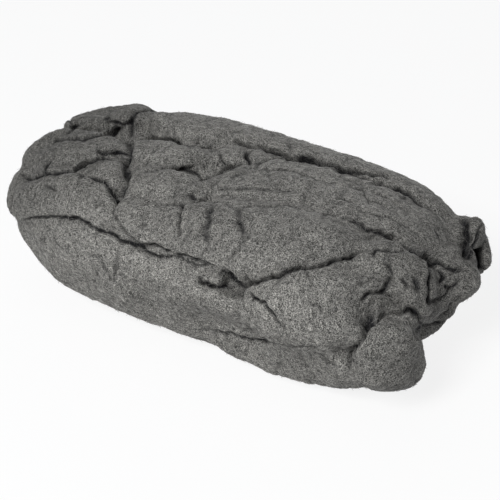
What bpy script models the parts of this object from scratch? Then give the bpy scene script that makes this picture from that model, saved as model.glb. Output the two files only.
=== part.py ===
"""Steel wool pad: a loaf of one long steel wool web, folded over itself by hand.

Each fold of the web is a soft roll that lies on a plain rounded core. The rolls and the core
are joined into one closed body, the main creases are pressed into it, and its underside is cut
flat where the pad rests.
"""
import bmesh
import bpy
import numpy as np
from mathutils import Matrix

# Sizes, in metres
LOAF_LENGTH = 0.250
LOAF_WIDTH = 0.132
LOAF_HEIGHT = 0.085
CORE_INSET = 0.005       # of the plain core, below the loaf's skin
CORE_TAPER = 0.04        # share of the core's size lost by its ends
FOLD_ROOT = 0.013        # of the folds' own undersides, below the loaf's skin
REST_SINK = 0.004        # how far the soft underside is pressed flat
VALLEY_FILL = 0.004      # folds nearer than twice this across a valley close it
VOXEL = 0.0017           # the finest crease that the joined body keeps
KEPT_FACES = 0.10        # share of the joined body's faces left after thinning

# Shapes: 2 is an ellipse, and higher is closer to a box
ROUNDNESS_ACROSS = 2.4
ROUNDNESS_ALONG = 3.6
SECTION = 3.2            # of a fold, across its run
BLUNTNESS = 3.0          # of a fold's two ends

# Faces round and along each fold
SIDES = 24
RINGS = 32

FOLD_UNIT = LOAF_HEIGHT / 85
HALF = np.array([LOAF_LENGTH, LOAF_WIDTH, LOAF_HEIGHT]) / 2

# Where each fold lies on the loaf. A station is (along, around, half width, top): along is a
# percentage of the loaf's half length, around is degrees from the front, over the top to the
# back, and the last two are counted in FOLD_UNIT, which is a millimetre at this height, with
# top counted from the loaf's plain skin.
FOLDS = {
    # the front, from the floor up
    "front_apron": [(-98, 4, 13, 6), (-76, -2, 26, 4), (-37, -2, 36, 2), (2, -4, 35, 1), (40, -12, 30, 0), (72, -18, 22, 0)],
    "hem": [(8, -28, 10, 2), (34, -28, 17, 3), (60, -24, 20, 3), (88, -18, 18, 3)],
    "front_panel": [(30, 14, 10, 2), (41, 16, 22, 3), (55, 22, 31, 4), (69, 32, 33, 4), (82, 42, 25, 3)],
    "foot": [(90, -36, 14, 5), (94, -10, 18, 9), (92, 18, 16, 8), (90, 40, 11, 5)],
    "belly": [(-39, 50, 11, 4), (-19, 45, 15, 5), (2, 50, 19, 6), (16, 54, 23, 6), (31, 58, 26, 6), (46, 65, 26, 5), (59, 73, 20, 4), (73, 82, 11, 2)],
    # the left end
    "left_nose": [(-100, 20, 15, 11), (-80, 36, 19, 7), (-56, 44, 16, 3), (-32, 46, 11, 1)],
    "left_gore": [(-64, 64, 4, 2), (-50, 68, 10, 3), (-37, 66, 6, 1)],
    "left_roll": [(-100, 64, 13, 13), (-84, 72, 16, 10), (-66, 79, 12, 7), (-51, 85, 7, 4)],
    "left_back_roll": [(-99, 108, 12, 13), (-80, 110, 14, 11), (-58, 112, 12, 8)],
    "left_inner": [(-97, 100, 10, 6), (-100, 80, 12, 4), (-99.8, -20, 14, 3), (-97, -50, 12, 2)],
    "left_cap": [(-96, 125, 16, 8), (-99, 160, 18, 6), (-99, 230, 18, 5), (-97, 300, 16, 3)],
    # the top
    "ridge": [(-62, 110, 12, 9), (-42, 113, 18, 9), (-13, 124, 18, 9), (21, 130, 18, 9), (54, 132, 17, 10), (84, 132, 15, 12)],
    "step_upper": [(-56, 86, 7, 4), (-41, 87, 11, 5), (-27, 91, 10, 5), (-15, 96, 6, 3)],
    "step_lower": [(-42, 68, 8, 4), (-28, 70, 11, 5), (-13, 74, 10, 4), (-2, 78, 6, 3)],
    "rumple": [(-18, 96, 8, 4), (-3, 103, 11, 5), (10, 111, 8, 4)],
    "upper_wrap": [(-9, 79, 7, 3), (2, 85, 14, 4), (16, 94, 22, 5), (35, 101, 27, 5), (59, 103, 27, 5), (80, 104, 23, 5), (96, 102, 14, 5)],
    # the right end
    "curl": [(69, 66, 8, 3), (77, 76, 11, 6), (86, 78, 12, 7), (94, 62, 11, 7), (96, 38, 10, 4)],
    "curl_inner": [(74, 52, 8, 1), (84, 62, 8, 1)],
    "end_skirt": [(96, 122, 13, 9), (98, 100, 13, 5), (98.5, 66, 13, -2), (98, 20, 12, -5)],
    "back_tuft": [(82, 138, 11, 10), (92, 141, 13, 12), (98, 132, 11, 13)],
    "end_cap": [(95, 160, 13, 3), (96, 195, 14, -2), (93, 250, 13, -5), (90, 295, 12, -4)],
    # the back and the underside
    "back_upper": [(-94, 150, 16, 7), (-50, 152, 24, 4), (0, 160, 27, 3), (50, 150, 24, 4), (94, 150, 15, 6)],
    "back_lower": [(-94, 190, 18, 4), (-60, 200, 24, 6), (-20, 188, 26, 7), (20, 186, 18, 5), (48, 176, 8, 4)],
    "back_hem": [(-70, 222, 22, 1), (-20, 226, 28, 2), (40, 212, 28, 5), (84, 196, 22, 5)],
    "under_fold": [(-88, 252, 20, 0), (-20, 262, 34, 1), (40, 256, 34, 0), (84, 262, 18, 0)],
    "under_front": [(-84, -64, 20, 0), (-20, -58, 26, 0), (50, -62, 26, 0), (80, -56, 15, 0)],
}

# The main creases, where one layer of the web ends on the next: depth and half width in
# FOLD_UNIT, then stations of (along, around).
CREASES = {
    # the front
    "under_belly": (3.4, 2.0, [(-44, 57), (-36, 45), (-24, 36), (-10, 33), (8, 35), (21, 33), (34, 25)]),
    "apron_top": (2.0, 1.8, [(-78, 12), (-60, 25), (-44, 31), (-16, 29), (10, 30)]),
    "front_pit": (4.0, 2.4, [(23, 27), (33, 24)]),
    "panel_top": (3.2, 2.0, [(34, 28), (40, 39), (48, 50), (56, 58), (63, 67), (68, 76)]),
    "panel_tear": (2.0, 1.8, [(36, 29), (43, 26), (51, 16)]),
    "round_foot": (3.4, 2.0, [(95, 50), (89, 41), (83, 26), (80, 8), (80, -8)]),
    # the left end
    "nose_top": (2.2, 1.8, [(-38, 53), (-45, 58), (-52, 60), (-62, 59)]),
    "left_roll_edge": (2.8, 1.9, [(-86, 44), (-68, 53), (-60, 63), (-57, 75), (-50, 82)]),
    "back_lobe_edge": (2.6, 1.9, [(-76, 70), (-61, 80), (-59, 87), (-67, 98)]),
    # the top
    "ridge_left": (3.2, 2.0, [(-70, 97), (-52, 101), (-39, 99), (-24, 98)]),
    "ridge_right": (3.4, 2.0, [(-12, 106), (2, 109), (15, 110), (28, 112), (42, 115), (52, 120)]),
    "ridge_end": (2.4, 1.9, [(36, 113), (48, 114), (59, 115), (69, 117), (76, 120)]),
    "step_side": (3.4, 2.4, [(-68, 96), (-53, 80), (-38, 66), (-39, 54)]),
    "step_line": (2.0, 1.8, [(-30, 75), (-27, 84), (-18, 87)]),
    "step_gap": (3.0, 2.0, [(-2, 96), (-11, 92), (-9, 81)]),
    "step_low": (2.2, 1.8, [(-17, 59), (-6, 64), (-2, 73)]),
    "wrap_edge": (2.6, 2.0, [(51, 87), (64, 87), (76, 87), (87, 91), (94, 93)]),
    # the right end
    "curl_top": (2.4, 1.8, [(77, 83), (71, 79), (68, 73)]),
    "curl_side": (3.6, 2.2, [(96, 58), (90, 73), (88, 83), (92, 94)]),
    "curl_hollow": (3.4, 2.4, [(83, 68), (82, 56), (78, 47)]),
    "tuft_gap": (4.2, 2.6, [(82, 116), (87, 117), (96, 115)]),
    "right_end": (2.6, 2.0, [(90, 205), (97, 190), (98, 160), (97, 140)]),
    "right_end_low": (2.2, 2.0, [(92, -30), (97, -60), (98, -110), (94, -150)]),
    # the back
    "back_long": (2.6, 2.0, [(-86, 168), (-60, 172), (-30, 170), (5, 174), (40, 166), (70, 168)]),
    "back_branch": (2.2, 1.9, [(-20, 171), (-5, 182), (15, 196), (38, 204)]),
    "back_low": (2.4, 2.0, [(-80, 212), (-50, 214), (-15, 212), (10, 216)]),
    "back_top": (2.0, 1.8, [(-55, 136), (-20, 141), (20, 146), (60, 145)]),
    "left_end": (2.8, 2.2, [(-88, 190), (-97, 200), (-99, 240), (-98, 300), (-92, 320)]),
    "left_end_up": (2.2, 1.9, [(-92, 95), (-99, 110), (-99.6, 150), (-99, 190)]),
}


def skin_point(along, around):
    """Points on the loaf's plain skin."""
    along = np.clip(along / 100, -0.9995, 0.9995)
    around = np.radians(around)
    girth = (1 - np.abs(along) ** ROUNDNESS_ALONG) ** (1 / ROUNDNESS_ALONG)
    across, upward = -np.cos(around), np.sin(around)
    unit = np.stack([
        along,
        girth * np.sign(across) * np.abs(across) ** (2 / ROUNDNESS_ACROSS),
        girth * np.sign(upward) * np.abs(upward) ** (2 / ROUNDNESS_ACROSS),
    ], axis=1)
    return unit * HALF


def settle(points):
    """Points brought onto the loaf's skin, with the way out of it at each."""
    unit = np.abs(points / HALF)
    ring = (unit[:, 1] ** ROUNDNESS_ACROSS + unit[:, 2] ** ROUNDNESS_ACROSS) ** (1 / ROUNDNESS_ACROSS)
    reach = (unit[:, 0] ** ROUNDNESS_ALONG + ring ** ROUNDNESS_ALONG) ** (1 / ROUNDNESS_ALONG)
    points = points / reach[:, None]
    unit = unit / reach[:, None]
    ring = (ring / reach).clip(1e-4)
    slope = unit ** (ROUNDNESS_ACROSS - 1) * ring[:, None] ** (ROUNDNESS_ALONG - ROUNDNESS_ACROSS)
    slope[:, 0] = unit[:, 0] ** (ROUNDNESS_ALONG - 1)
    out = np.sign(points) * slope / HALF
    return points, out / np.linalg.norm(out, axis=1)[:, None]


def through(stations, count):
    """count rows on a smooth curve through the stations."""
    rows = np.array(stations, float)
    knots = np.arange(len(rows))
    at = np.linspace(0, len(rows) - 1, count)
    slopes = np.gradient(rows, axis=0)
    i = np.minimum(at.astype(int), len(rows) - 2)
    t = (at - knots[i])[:, None]
    a, b, da, db = rows[i], rows[i + 1], slopes[i], slopes[i + 1]
    return ((2 * t**3 - 3 * t**2 + 1) * a + (t**3 - 2 * t**2 + t) * da
            + (3 * t**2 - 2 * t**3) * b + (t**3 - t**2) * db)


def add_fold(body, stations):
    """A ball pressed into a soft fold that follows its stations over the loaf."""
    ball = bmesh.ops.create_uvsphere(body, u_segments=SIDES, v_segments=RINGS, radius=1)["verts"]
    unit = np.array([v.co for v in ball])
    fine = through(stations, 200)
    middle, out = settle(skin_point(fine[:, 0], fine[:, 1]))
    onward = np.gradient(middle, axis=0)
    aside = np.cross(out, onward)
    aside /= np.linalg.norm(aside, axis=1)[:, None]
    row = ((unit[:, 2] + 1) / 2 * (len(fine) - 1)).round().astype(int)
    swell = (1 - np.abs(unit[:, 2]) ** BLUNTNESS).clip(0) ** (1 / BLUNTNESS)
    turn = np.arctan2(unit[:, 1], unit[:, 0])
    across = np.sign(np.cos(turn)) * np.abs(np.cos(turn)) ** (2 / SECTION)
    height = np.sign(np.sin(turn)) * np.abs(np.sin(turn)) ** (2 / SECTION)
    place, out = settle(middle[row] + aside[row] * (across * swell * fine[row, 2] * FOLD_UNIT)[:, None])
    level = (fine[row, 3] * FOLD_UNIT + FOLD_ROOT) * (1 + height * swell) / 2 - FOLD_ROOT
    place += out * level[:, None]
    for vert, co in zip(ball, place):
        vert.co = co


def add_core(body):
    """A ball squared off into the plain loaf under the folds."""
    ball = bmesh.ops.create_uvsphere(body, u_segments=64, v_segments=48, radius=1)["verts"]
    unit = np.array([v.co for v in ball])
    place, out = settle(unit[:, [2, 0, 1]] * HALF)
    place -= out * CORE_INSET
    for vert, co in zip(ball, place):
        vert.co = co
        vert.co *= 1 - CORE_TAPER * abs(co[0] / HALF[0]) ** 4


def outer_skin(mesh):
    """A mesh of overlapping bodies melted into one closed mesh."""
    holder = bpy.data.objects.new("skin", mesh)
    bpy.context.scene.collection.objects.link(holder)
    joined = holder.modifiers.new("join the bodies", "REMESH")
    joined.mode = "VOXEL"
    joined.voxel_size = VOXEL
    eased = holder.modifiers.new("ease the steps", "SMOOTH")
    eased.iterations = 6
    skin = bpy.data.meshes.new_from_object(holder.evaluated_get(bpy.context.evaluated_depsgraph_get()))
    bpy.data.objects.remove(holder)
    return skin


def swell(skin, distance):
    """Moves a mesh's points along their normals."""
    places = np.array([v.co + v.normal * distance for v in skin.vertices])
    skin.vertices.foreach_set("co", places.ravel())
    skin.update()


def press_creases(skin):
    """Sinks a mesh's points along the creases' lines."""
    places = np.array([v.co for v in skin.vertices])
    plain, out = settle(places)
    sunk = np.zeros(len(places))
    for depth, width, stations in CREASES.values():
        line = through(stations, 60)
        line, _ = settle(skin_point(line[:, 0], line[:, 1]))
        reach = 3 * width * FOLD_UNIT
        box = (plain > line.min(axis=0) - reach) & (plain < line.max(axis=0) + reach)
        near = np.flatnonzero(box.all(axis=1))
        away = np.linalg.norm(plain[near, None] - line[None], axis=2).min(axis=1)
        groove = depth * FOLD_UNIT * np.exp(-(away / width / FOLD_UNIT) ** 2)
        sunk[near] = np.maximum(sunk[near], groove)
    places -= out * sunk[:, None]
    skin.vertices.foreach_set("co", places.ravel())
    skin.update()


def make_pad(collection):
    body = bmesh.new()
    add_core(body)
    for stations in FOLDS.values():
        add_fold(body, stations)
    places = np.array([v.co for v in body.verts])
    folds = bpy.data.meshes.new("folds")
    body.to_mesh(folds)
    body.free()
    skin = outer_skin(folds)
    swell(skin, VALLEY_FILL)
    skin = outer_skin(skin)
    swell(skin, -VALLEY_FILL)
    press_creases(skin)
    shift = -(places.min(axis=0) + places.max(axis=0)) / 2
    shift[2] = HALF[2] - REST_SINK
    skin.transform(Matrix.Translation(shift))
    skin.name = "steel_wool_pad"
    pad = bpy.data.objects.new("steel_wool_pad", skin)
    collection.objects.link(pad)
    eased = pad.modifiers.new("ease the creases", "SMOOTH")
    eased.iterations = 4
    thinned = pad.modifiers.new("thin the faces", "DECIMATE")
    thinned.ratio = KEPT_FACES
    return pad


def add_floor_cutter(pad, collection):
    """A block below the floor's level cuts the underside flat."""
    size = 2 * LOAF_LENGTH
    bpy.ops.mesh.primitive_cube_add(size=size, location=(0, 0, -size / 2))
    cutter = bpy.context.object
    cutter.name = "floor_cutter"
    for owner in list(cutter.users_collection):
        owner.objects.unlink(cutter)
    collection.objects.link(cutter)
    cutter.hide_render = True
    cutter.display_type = "WIRE"
    flat = pad.modifiers.new("flat underside", "BOOLEAN")
    flat.operation = "DIFFERENCE"
    flat.object = cutter


def steel_wool():
    material = bpy.data.materials.new("steel_wool")
    material.use_nodes = True
    shader = material.node_tree.nodes["Principled BSDF"]
    shader.inputs["Base Color"].default_value = (0.135, 0.13, 0.122, 1)
    shader.inputs["Metallic"].default_value = 0.35
    shader.inputs["Roughness"].default_value = 0.75
    return material


def main():
    for old in list(bpy.data.objects):
        bpy.data.objects.remove(old)
    parts = bpy.data.collections.new("steel_wool_pad")
    cutters = bpy.data.collections.new("cutters")
    for collection in (parts, cutters):
        bpy.context.scene.collection.children.link(collection)
    pad = make_pad(parts)
    pad.data.materials.append(steel_wool())
    add_floor_cutter(pad, cutters)


main()
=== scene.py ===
# %% [markdown]
# # A pad of fine steel wool
#
# The real pad is one long web of hair-fine steel fibre, folded over itself by hand into a
# loaf. This lesson builds it in four steps: a body of soft folds, the creases and rumples
# that the folds press into each other, a coat of real strands, and the dull grey metal.

# %% Load the measured model that the pad is built on
import math

import bmesh
import bpy
import numpy as np
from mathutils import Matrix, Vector, kdtree, noise
from mathutils.bvhtree import BVHTree


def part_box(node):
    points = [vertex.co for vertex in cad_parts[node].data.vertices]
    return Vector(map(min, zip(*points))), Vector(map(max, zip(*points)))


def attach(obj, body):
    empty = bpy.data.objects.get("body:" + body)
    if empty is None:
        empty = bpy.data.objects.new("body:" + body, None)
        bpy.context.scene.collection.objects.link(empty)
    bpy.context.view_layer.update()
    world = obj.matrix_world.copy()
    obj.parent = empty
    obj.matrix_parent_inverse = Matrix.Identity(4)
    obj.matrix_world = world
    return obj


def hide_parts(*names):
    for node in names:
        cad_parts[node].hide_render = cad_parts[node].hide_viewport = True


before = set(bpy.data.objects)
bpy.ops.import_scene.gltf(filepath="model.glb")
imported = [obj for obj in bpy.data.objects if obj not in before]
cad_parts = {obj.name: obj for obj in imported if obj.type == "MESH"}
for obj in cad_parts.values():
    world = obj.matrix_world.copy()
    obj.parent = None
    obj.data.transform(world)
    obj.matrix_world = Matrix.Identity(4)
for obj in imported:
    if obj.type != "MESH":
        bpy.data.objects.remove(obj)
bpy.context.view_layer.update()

LOW, HIGH = (np.array(corner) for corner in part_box("steel_wool_pad"))
MM = 0.001
print("The solid runs from", LOW.round(4), "to", HIGH.round(4))

# %% [markdown]
# ## The camera
#
# The photograph looks down on the long front side from its right. The camera comes first,
# because the creases are later drawn through it, as one would pencil them on tracing paper.
# Its angles, lens and distance were found by matching the outline of a plain loaf.

# %% Place the camera
PHOTO_SIZE = 500
CAMERA_AROUND = math.radians(33)
CAMERA_ABOVE = math.radians(35)
CAMERA_DISTANCE = 0.640
CAMERA_LENS = 85
FILM_WIDTH = 36
LOAF_CENTRE = Vector((0.0015, -0.0025, 0.0385))
LOAF_CENTRE_IN_PHOTO = (241, 243)

BACK = Vector((
    math.sin(CAMERA_AROUND) * math.cos(CAMERA_ABOVE),
    -math.cos(CAMERA_AROUND) * math.cos(CAMERA_ABOVE),
    math.sin(CAMERA_ABOVE),
))
RIGHT = Vector((math.cos(CAMERA_AROUND), math.sin(CAMERA_AROUND), 0))
UP = BACK.cross(RIGHT)
PIXEL = FILM_WIDTH / CAMERA_LENS / PHOTO_SIZE


def toward(pixel):
    """The direction that one point of the photograph looks along."""
    across = (pixel[0] - PHOTO_SIZE / 2) * PIXEL
    down = (pixel[1] - PHOTO_SIZE / 2) * PIXEL
    return RIGHT * across - UP * down - BACK


EYE = LOAF_CENTRE - toward(LOAF_CENTRE_IN_PHOTO) * CAMERA_DISTANCE
camera = bpy.data.objects.new("camera", bpy.data.cameras.new("camera"))
camera.data.lens = CAMERA_LENS
camera.data.sensor_width = FILM_WIDTH
camera.location = EYE
camera.rotation_euler = (-BACK).to_track_quat("-Z", "Y").to_euler()
bpy.context.scene.collection.objects.link(camera)
bpy.context.scene.camera = camera
print("The camera stands at", [round(x, 3) for x in EYE])

# %% [markdown]
# ## The folds
#
# The web doesn't lie flat: each turn of it swells into a soft roll with a blunt rim. A cloth
# simulation would fold it by chance, but this pad has known folds in known places. So each
# fold is a ball pressed flat and bent along a line over a plain loaf. A station on that line
# gives its place along the loaf (per cent of half its length), its place around it (degrees
# from the front, over the top to the back), and its half width and height in millimetres.

# %% Measures of the loaf and its folds
HALF = np.array([0.250, 0.132, 0.085]) / 2
ROUNDNESS_ACROSS = 2.4
ROUNDNESS_ALONG = 3.6
SECTION = 3.2
BLUNTNESS = 3.0
FOLD_ROOT = 13 * MM
CORE_INSET = 5 * MM
CORE_TAPER = 0.04
REST_SINK = 4 * MM

FOLDS = {
    # the front, from the floor up
    "front_apron": [
        (-98, 4, 13, 6), (-76, -2, 26, 4), (-37, -2, 36, 2), (2, -4, 35, 1), (40, -12, 30, 0),
        (72, -18, 22, 0),
    ],
    "hem": [(8, -28, 10, 2), (34, -28, 17, 3), (60, -24, 20, 3), (88, -18, 18, 3)],
    "front_panel": [(30, 14, 10, 2), (41, 16, 22, 3), (55, 22, 31, 4), (69, 32, 33, 4), (82, 42, 25, 3)],
    "foot": [(90, -36, 14, 5), (94, -10, 18, 9), (92, 18, 16, 8), (90, 40, 11, 5)],
    "belly": [
        (-39, 50, 11, 4), (-19, 45, 15, 5), (2, 50, 19, 6), (16, 54, 23, 6), (31, 58, 26, 6),
        (46, 65, 26, 5), (59, 73, 20, 4), (73, 82, 11, 2),
    ],
    # the left end
    "left_nose": [(-100, 20, 15, 11), (-80, 36, 19, 7), (-56, 44, 16, 3), (-32, 46, 11, 1)],
    "left_gore": [(-64, 64, 4, 2), (-50, 68, 10, 3), (-37, 66, 6, 1)],
    "left_roll": [(-100, 64, 13, 13), (-84, 72, 16, 10), (-66, 79, 12, 7), (-51, 85, 7, 4)],
    "left_back_roll": [(-99, 108, 12, 13), (-80, 110, 14, 11), (-58, 112, 12, 8)],
    "left_inner": [(-97, 100, 10, 6), (-100, 80, 12, 4), (-99.8, -20, 14, 3), (-97, -50, 12, 2)],
    "left_cap": [(-96, 125, 16, 8), (-99, 160, 18, 6), (-99, 230, 18, 5), (-97, 300, 16, 3)],
    # the top
    "ridge": [
        (-62, 110, 12, 9), (-42, 113, 18, 9), (-13, 124, 18, 9), (21, 130, 18, 9), (54, 132, 17, 10),
        (84, 132, 15, 12),
    ],
    "step_upper": [(-56, 86, 7, 4), (-41, 87, 11, 5), (-27, 91, 10, 5), (-15, 96, 6, 3)],
    "step_lower": [(-42, 68, 8, 4), (-28, 70, 11, 5), (-13, 74, 10, 4), (-2, 78, 6, 3)],
    "rumple": [(-18, 96, 8, 4), (-3, 103, 11, 5), (10, 111, 8, 4)],
    "upper_wrap": [
        (-9, 79, 7, 3), (2, 85, 14, 4), (16, 94, 22, 5), (35, 101, 27, 5), (59, 103, 27, 5),
        (80, 104, 23, 5), (96, 102, 14, 5),
    ],
    # the right end
    "curl": [(69, 66, 8, 3), (77, 76, 11, 6), (86, 78, 12, 7), (94, 62, 11, 7), (96, 38, 10, 4)],
    "curl_inner": [(74, 52, 8, 1), (84, 62, 8, 1)],
    "end_skirt": [(96, 122, 13, 9), (98, 100, 13, 5), (98.5, 66, 13, -2), (98, 20, 12, -5)],
    "back_tuft": [(82, 138, 11, 10), (92, 141, 13, 12), (98, 132, 11, 13)],
    "end_cap": [(95, 160, 13, 3), (96, 195, 14, -2), (93, 250, 13, -5), (90, 295, 12, -4)],
    # the back and the underside
    "back_upper": [
        (-94, 150, 16, 7), (-50, 152, 24, 4), (0, 160, 27, 3), (50, 150, 24, 4), (94, 150, 15, 6),
    ],
    "back_lower": [
        (-94, 190, 18, 4), (-60, 200, 24, 6), (-20, 188, 26, 7), (20, 186, 18, 5), (48, 176, 8, 4),
    ],
    "back_hem": [(-70, 222, 22, 1), (-20, 226, 28, 2), (40, 212, 28, 5), (84, 196, 22, 5)],
    "under_fold": [(-88, 252, 20, 0), (-20, 262, 34, 1), (40, 256, 34, 0), (84, 262, 18, 0)],
    "under_front": [(-84, -64, 20, 0), (-20, -58, 26, 0), (50, -62, 26, 0), (80, -56, 15, 0)],
}
print(len(FOLDS), "folds lie on the loaf")


# %% Find places on the plain loaf
def skin_point(along, around):
    """Points on the loaf's plain skin."""
    along = np.clip(along / 100, -0.9995, 0.9995)
    around = np.radians(around)
    girth = (1 - np.abs(along) ** ROUNDNESS_ALONG) ** (1 / ROUNDNESS_ALONG)
    across, upward = -np.cos(around), np.sin(around)
    unit = np.stack([
        along,
        girth * np.sign(across) * np.abs(across) ** (2 / ROUNDNESS_ACROSS),
        girth * np.sign(upward) * np.abs(upward) ** (2 / ROUNDNESS_ACROSS),
    ], axis=1)
    return unit * HALF


def settle(points):
    """Points brought onto the loaf's skin, with the way out of it at each."""
    unit = np.abs(points / HALF)
    ring = (unit[:, 1] ** ROUNDNESS_ACROSS + unit[:, 2] ** ROUNDNESS_ACROSS) ** (1 / ROUNDNESS_ACROSS)
    reach = (unit[:, 0] ** ROUNDNESS_ALONG + ring ** ROUNDNESS_ALONG) ** (1 / ROUNDNESS_ALONG)
    points = points / reach[:, None]
    unit = unit / reach[:, None]
    ring = (ring / reach).clip(1e-4)
    slope = unit ** (ROUNDNESS_ACROSS - 1) * ring[:, None] ** (ROUNDNESS_ALONG - ROUNDNESS_ACROSS)
    slope[:, 0] = unit[:, 0] ** (ROUNDNESS_ALONG - 1)
    out = np.sign(points) * slope / HALF
    return points, out / np.linalg.norm(out, axis=1)[:, None]


def through(stations, count):
    """count rows on a smooth curve through the stations."""
    rows = np.array(stations, float)
    at = np.linspace(0, len(rows) - 1, count)
    slopes = np.gradient(rows, axis=0)
    i = np.minimum(at.astype(int), len(rows) - 2)
    t = (at - i)[:, None]
    a, b, da, db = rows[i], rows[i + 1], slopes[i], slopes[i + 1]
    return ((2 * t**3 - 3 * t**2 + 1) * a + (t**3 - 2 * t**2 + t) * da
            + (3 * t**2 - 2 * t**3) * b + (t**3 - t**2) * db)


# %% Press a ball into each fold
FOLD_SIDES = 80
FOLD_RINGS = 150
PATH_POINTS = 300


def round_ball(sides, rings):
    """The points and faces of a plain ball."""
    ball = bmesh.new()
    bmesh.ops.create_uvsphere(ball, u_segments=sides, v_segments=rings, radius=1)
    points = np.array([vert.co for vert in ball.verts])
    faces = [[vert.index for vert in face.verts] for face in ball.faces]
    ball.free()
    return points, faces


def fold_of(stations, unit):
    """A ball's points pressed into one fold, with the run of the web at each.

    The run is told as metres along the fold, metres across it, and the way along.
    """
    fine = through(stations, PATH_POINTS)
    middle, out = settle(skin_point(fine[:, 0], fine[:, 1]))
    onward = np.gradient(middle, axis=0)
    travelled = np.cumsum(np.linalg.norm(onward, axis=1))
    onward /= np.linalg.norm(onward, axis=1)[:, None]
    aside = np.cross(out, onward)
    row = ((unit[:, 2] + 1) / 2 * (PATH_POINTS - 1)).round().astype(int)
    swell = (1 - np.abs(unit[:, 2]) ** BLUNTNESS).clip(0) ** (1 / BLUNTNESS)
    turn = np.arctan2(unit[:, 1], unit[:, 0])
    across = np.sign(np.cos(turn)) * np.abs(np.cos(turn)) ** (2 / SECTION)
    height = np.sign(np.sin(turn)) * np.abs(np.sin(turn)) ** (2 / SECTION)
    offset = across * swell * fine[row, 2] * MM
    place, out = settle(middle[row] + aside[row] * offset[:, None])
    level = (fine[row, 3] * MM + FOLD_ROOT) * (1 + height * swell) / 2 - FOLD_ROOT
    return place + out * level[:, None], np.stack([travelled[row], offset], axis=1), onward[row]


def core_of(unit):
    """A ball's points pressed into the plain loaf under the folds."""
    place, out = settle(unit[:, [2, 0, 1]] * HALF)
    place -= out * CORE_INSET
    return place * (1 - CORE_TAPER * np.abs(place[:, :1] / HALF[0]) ** 4)


ball_points, ball_faces = round_ball(FOLD_SIDES, FOLD_RINGS)
runs = [fold_of(stations, ball_points) for stations in FOLDS.values()]
bodies = [core_of(ball_points)] + [place for place, _, _ in runs]
faces = [[i + k * len(ball_points) for i in face] for k in range(len(bodies)) for face in ball_faces]
rough_mesh = bpy.data.meshes.new("rough")
rough_mesh.from_pydata(np.concatenate(bodies).tolist(), [], faces)
print(len(rough_mesh.vertices), "points before the folds are joined")

# %% [markdown]
# ## One web
#
# The balls overlap, and a voxel remesh melts them into one skin. It is the quickest way to
# weld many closed shapes, and it leaves even, small faces that can be pushed about like clay.
# Left so, the folds would look like a bunch of sausages with deep valleys between. So the
# skin is blown up by a few millimetres, melted again and let down: the narrow valleys have
# closed meanwhile, and what stays of them is a shallow, sharp crease.

# %% Melt the folds into one skin
SKIN_VOXEL = 0.75 * MM
VALLEY_FILL = 4 * MM
ROUNDS_JOINED, ROUNDS_CLOSED, ROUNDS_LAST = 6, 14, 4


def link(name, mesh):
    """A new object in the scene for a mesh."""
    piece = bpy.data.objects.new(name, mesh)
    bpy.context.scene.collection.objects.link(piece)
    return piece


def applied(piece, name):
    """The piece's mesh with its modifiers applied, in a new plain object."""
    bpy.context.view_layer.update()
    depsgraph = bpy.context.evaluated_depsgraph_get()
    mesh = bpy.data.meshes.new_from_object(piece.evaluated_get(depsgraph))
    bpy.data.objects.remove(piece)
    mesh.name = name
    return link(name, mesh)


def points_of(mesh):
    """A mesh's points as an array."""
    flat = np.empty(len(mesh.vertices) * 3)
    mesh.vertices.foreach_get("co", flat)
    return flat.reshape(-1, 3)


def normals_of(mesh):
    """The way out at each of a mesh's points."""
    flat = np.empty(len(mesh.vertices) * 3)
    mesh.vertices.foreach_get("normal", flat)
    return flat.reshape(-1, 3)


def move_points(mesh, places):
    """Sets a mesh's points."""
    mesh.vertices.foreach_set("co", places.ravel())
    mesh.update()


def melted(piece, rounds):
    """Overlapping bodies as one closed skin with even faces."""
    joined = piece.modifiers.new("join the bodies", "REMESH")
    joined.mode = "VOXEL"
    joined.voxel_size = SKIN_VOXEL
    eased = piece.modifiers.new("ease the steps", "SMOOTH")
    eased.iterations = rounds
    return applied(piece, piece.name)


def swell(piece, distance):
    """Moves each point of a piece along its normal."""
    move_points(piece.data, points_of(piece.data) + normals_of(piece.data) * distance)


clay = melted(link("clay", rough_mesh), ROUNDS_JOINED)
swell(clay, VALLEY_FILL)
clay = melted(clay, ROUNDS_CLOSED)
swell(clay, -VALLEY_FILL)
clay = melted(clay, ROUNDS_LAST)
print(len(clay.data.polygons), "faces in the joined skin")


# %% Bring it to its place over the solid
places = points_of(clay.data)
shift = (LOW + HIGH) / 2 - (places.min(axis=0) + places.max(axis=0)) / 2
shift[2] = HALF[2] - REST_SINK
move_points(clay.data, places + shift)
print("moved by", shift.round(4))

# %% [markdown]
# ## Which way the web runs
#
# In steel wool the fibres lie mostly along the web. Each point of the skin takes its run from
# the fold that it belongs to, so that streaks and strands can follow the folds later.

# %% Give each point the run of its fold
FOLD_APART = 0.37
run_places = np.concatenate([place for place, _, _ in runs]) + shift
run_coords = np.concatenate([
    np.column_stack([coords, np.full(len(coords), FOLD_APART * i)])
    for i, (_, coords, _) in enumerate(runs)
])
run_onward = np.concatenate([onward for _, _, onward in runs])
run_tree = kdtree.KDTree(len(run_places))
for i, place in enumerate(run_places):
    run_tree.insert(place, i)
run_tree.balance()


def nearest_runs(places):
    """Which run lies nearest to each place."""
    return np.array([run_tree.find(place)[1] for place in places])


nearest = nearest_runs(points_of(clay.data))
print("runs found for", len(nearest), "points")

# %% [markdown]
# ## Creases
#
# Where one layer lies over another there is a dark line, a rolled rim above it and a dip
# below. Each crease is drawn as a few points of the photograph, cast through the camera onto
# the skin. The layer on the left of the line's travel lies over the one on its right. Torn
# wool has no clean edge, so each line sways a little and bites deeper here and there.

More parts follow.
